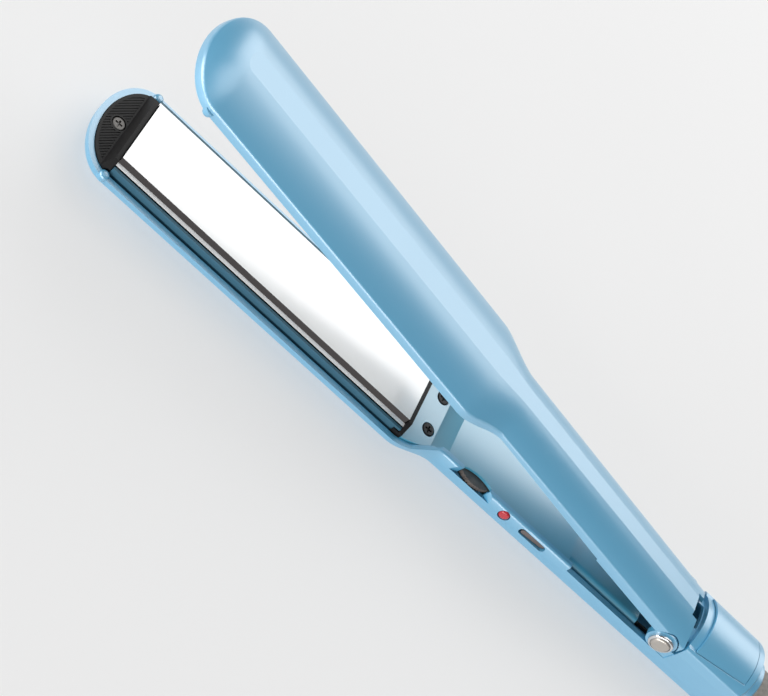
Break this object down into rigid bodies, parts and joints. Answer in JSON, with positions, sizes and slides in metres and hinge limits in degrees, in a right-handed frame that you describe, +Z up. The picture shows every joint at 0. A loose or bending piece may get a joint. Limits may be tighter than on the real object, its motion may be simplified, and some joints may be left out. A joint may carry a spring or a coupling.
{
  "type": "hair straightening iron",
  "caption": "Hair straightening iron with two spring-opened hinged arms, long flat heated plates, a heat dial, a rocker switch and a swivel cord.",
  "frame": {"origin": "on the flat back of the lower arm, straight under the hinge axis", "axes": "+X from the tips towards the cord, +Y away from the control side, +Z up, from the lower arm to the upper arm"},
  "size_m": [0.5059, 0.0679, 0.0679],
  "materials": {
    "shell": "satin metallic light blue paint",
    "cover": "satin metallic light blue paint",
    "plate": "polished metal",
    "carrier": "dark teal moulded resin",
    "cap": "black heat-proof resin",
    "screw_grey": "dull grey zinc",
    "screw_black": "black oxide",
    "heater": "unglazed white ceramic",
    "spring": "bright spring steel",
    "wire": "glass-braid sleeve",
    "supply_wire": "black insulation",
    "board": "green solder mask",
    "pot": "moulded body",
    "dial": "bronze grey, knurled edge",
    "rocker": "grey-brown, fine grooves",
    "switch": "black",
    "lens": "clear red",
    "lamp": "clear with two wire legs",
    "fuse": "bright",
    "pin": "ground",
    "hinge_cap": "bright",
    "button": "satin, warm grey",
    "bracket": "pressed steel",
    "rear": "satin metallic light blue paint",
    "swivel": "satin metallic light blue paint",
    "boot": "mottled grey",
    "cord": "matt black",
    "tie": "black",
    "plug": "black",
    "blade": "plain"
  },
  "bodies": {
    "lower_arm": {"lower_shell": "shell", "lower_inner_cover": "cover", "lower_tip_cap": "cap", "lower_tip_screw": "screw_grey", "lower_plate": "plate", "lower_plate_carrier": "carrier", "lower_heater": "heater", "lower_heater_spring": "spring", "lower_end_block": "cap", "lower_neck_screws": "screw_black", "lower_heater_leads": "wire", "rear_body": "rear", "rear_cover": "rear", "hinge_pin": "pin", "hinge_caps": "hinge_cap", "hinge_cap_buttons": "button", "hinge_spring": "spring", "control_board": "board", "dial_potentiometer": "pot", "indicator_lens": "lens", "indicator_lamp": "lamp", "switch_body": "switch", "thermal_fuse": "fuse", "supply_leads": "supply_wire", "power_cord": "cord", "cord_hank": "cord", "cord_tie": "tie", "cord_tail": "cord", "plug_relief": "plug", "plug_body": "plug", "plug_blades": "blade"},
    "upper_arm": {"upper_shell": "shell", "upper_inner_cover": "cover", "upper_tip_cap": "cap", "upper_tip_screw": "screw_grey", "upper_plate": "plate", "upper_plate_carrier": "carrier", "upper_heater": "heater", "upper_heater_spring": "spring", "upper_end_block": "cap", "upper_neck_screws": "screw_black", "upper_heater_leads": "wire", "hinge_bracket": "bracket", "hinge_bracket_screw": "screw_grey"},
    "dial": {"temperature_dial": "dial"},
    "rocker": {"power_rocker": "rocker"},
    "swivel": {"cord_swivel": "swivel", "strain_relief": "boot"}
  },
  "joints": [
    {"name": "arm_hinge", "type": "hinge", "parent": "lower_arm", "child": "upper_arm", "pos_m": [0, 0, 0.017], "axis": [0, 1, 0], "range_deg": [-9.7, 0], "stiffness_Nm_per_rad": 0.5, "springref_deg": 34.38},
    {"name": "dial_turn", "type": "hinge", "parent": "lower_arm", "child": "dial", "pos_m": [-0.0848, -0.0041, 0.011], "axis": [0, 0, 1], "range_deg": [-135, 135]},
    {"name": "switch_rock", "type": "hinge", "parent": "lower_arm", "child": "rocker", "pos_m": [-0.0565, -0.0094, 0.01125], "axis": [0, 0, 1], "range_deg": [-10, 0]},
    {"name": "cord_swivel", "type": "hinge", "parent": "lower_arm", "child": "swivel", "pos_m": [0.035, 0, 0.015], "axis": [1, 0, 0], "continuous": true}
  ]
}
